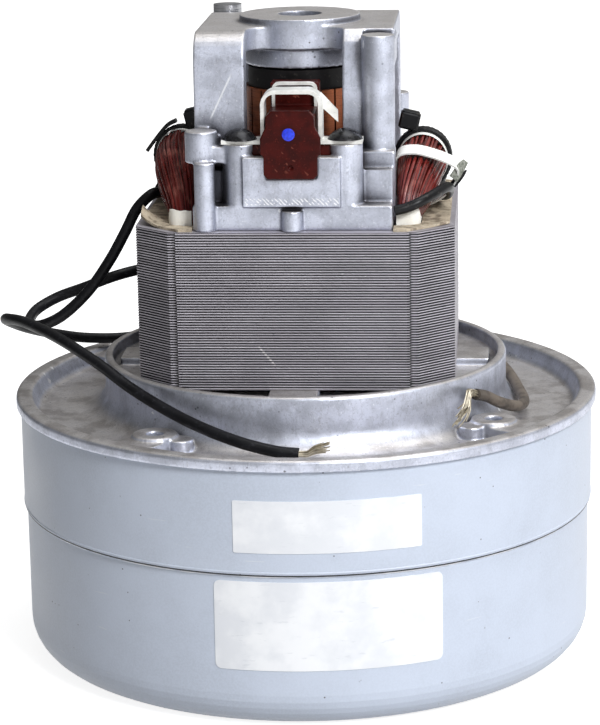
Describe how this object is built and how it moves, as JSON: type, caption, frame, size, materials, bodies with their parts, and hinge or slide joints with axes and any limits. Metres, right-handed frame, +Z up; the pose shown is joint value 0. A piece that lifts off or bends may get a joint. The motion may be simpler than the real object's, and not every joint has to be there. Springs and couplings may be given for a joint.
{
  "type": "vacuum motor unit",
  "caption": "Through-flow vacuum motor: painted two-stage fan drum, cast brackets, open lamination stack, field coils, brush gear and a pair of flying leads.",
  "frame": {"origin": "centre of the drum's base, on the plane that it stands on", "axes": "+Z up along the shaft, -Y towards the brush that faces the viewer, +X to the viewer's right"},
  "size_m": [0.1526, 0.147, 0.1607],
  "materials": {
    "painted_shell": "satin grey-blue paint",
    "cast_aluminium": "bare die-cast",
    "fan_metal": "rolled sheet",
    "steel": "ground",
    "laminations": "stacked sheet edges",
    "enamelled_wire": "red-brown enamel",
    "commutator_copper": "turned copper",
    "moulding": "moulded black",
    "holder_moulding": "red-brown moulding",
    "tube_brass": "drawn brass",
    "carbon": "pressed carbon",
    "zinc_strip": "zinc plated",
    "black_steel": "blackened",
    "slot_paper": "cream insulating paper",
    "white_tape": "woven tape",
    "black_tie": "moulded nylon",
    "lead_insulation": "black insulation",
    "strand_copper": "bare strands",
    "sticker_paper": "blank label"
  },
  "bodies": {
    "housing": {"fan_shell_lower": "painted_shell", "fan_shell_upper": "painted_shell", "stationary_fan": "fan_metal", "interstage_plate": "fan_metal", "fan_end_bracket": "cast_aluminium", "lower_bearing_outer": "steel", "upper_bearing_outer": "steel", "preload_washer": "steel", "field_core": "laminations", "field_coil_left": "enamelled_wire", "field_coil_right": "enamelled_wire", "slot_liners": "slot_paper", "coil_ties": "black_tie", "coil_tape": "white_tape", "coil_lead_sleeve": "lead_insulation", "lead_splice": "lead_insulation", "commutator_end_bracket": "cast_aluminium", "through_bolts": "steel", "brush_holder_front": "holder_moulding", "brush_holder_rear": "holder_moulding", "brush_tube_front": "tube_brass", "brush_tube_rear": "tube_brass", "brush_spring_front": "steel", "brush_spring_rear": "steel", "brush_clamp_front": "zinc_strip", "brush_clamp_rear": "zinc_strip", "clamp_screws": "black_steel", "lead_wire_a": "lead_insulation", "lead_wire_b": "lead_insulation", "lead_a_strands": "strand_copper", "lead_b_strands": "strand_copper", "upper_sticker": "sticker_paper", "lower_sticker": "sticker_paper"},
    "rotor": {"shaft": "steel", "fan1_shroud": "fan_metal", "fan1_vanes": "fan_metal", "fan1_backplate": "fan_metal", "fan2_shroud": "fan_metal", "fan2_vanes": "fan_metal", "fan2_backplate": "fan_metal", "fan_spacer": "steel", "fan_washers": "steel", "fan_nut": "steel", "armature_core": "laminations", "armature_winding": "enamelled_wire", "commutator_hub": "moulding", "commutator_bars": "commutator_copper", "lower_bearing_inner": "steel", "upper_bearing_inner": "steel"},
    "lower_ball_set": {"lower_bearing_balls": "steel", "lower_bearing_cage": "tube_brass"},
    "upper_ball_set": {"upper_bearing_balls": "steel", "upper_bearing_cage": "tube_brass"},
    "front_brush": {"brush_front": "carbon"},
    "rear_brush": {"brush_rear": "carbon"}
  },
  "joints": [
    {"name": "rotor_spin", "type": "hinge", "parent": "housing", "child": "rotor", "pos_m": [0, 0, 0.1], "axis": [0, 0, 1], "continuous": true},
    {"name": "lower_balls_spin", "type": "hinge", "parent": "housing", "child": "lower_ball_set", "pos_m": [0, 0, 0.053], "axis": [0, 0, 1], "continuous": true},
    {"name": "upper_balls_spin", "type": "hinge", "parent": "housing", "child": "upper_ball_set", "pos_m": [0, 0, 0.1531], "axis": [0, 0, 1], "continuous": true},
    {"name": "front_brush_slide", "type": "slide", "parent": "housing", "child": "front_brush", "axis": [0, -1, 0], "range_m": [0, 0.004], "stiffness_N_per_m": 150, "springref_m": -0.006, "deforming": ["brush_spring_front"]},
    {"name": "rear_brush_slide", "type": "slide", "parent": "housing", "child": "rear_brush", "axis": [0, 1, 0], "range_m": [0, 0.004], "stiffness_N_per_m": 150, "springref_m": -0.006, "deforming": ["brush_spring_rear"]}
  ],
  "couplings": [
    {"joint": "lower_balls_spin", "follows": "rotor_spin", "ratio": 0.3747},
    {"joint": "upper_balls_spin", "follows": "rotor_spin", "ratio": 0.3684}
  ]
}
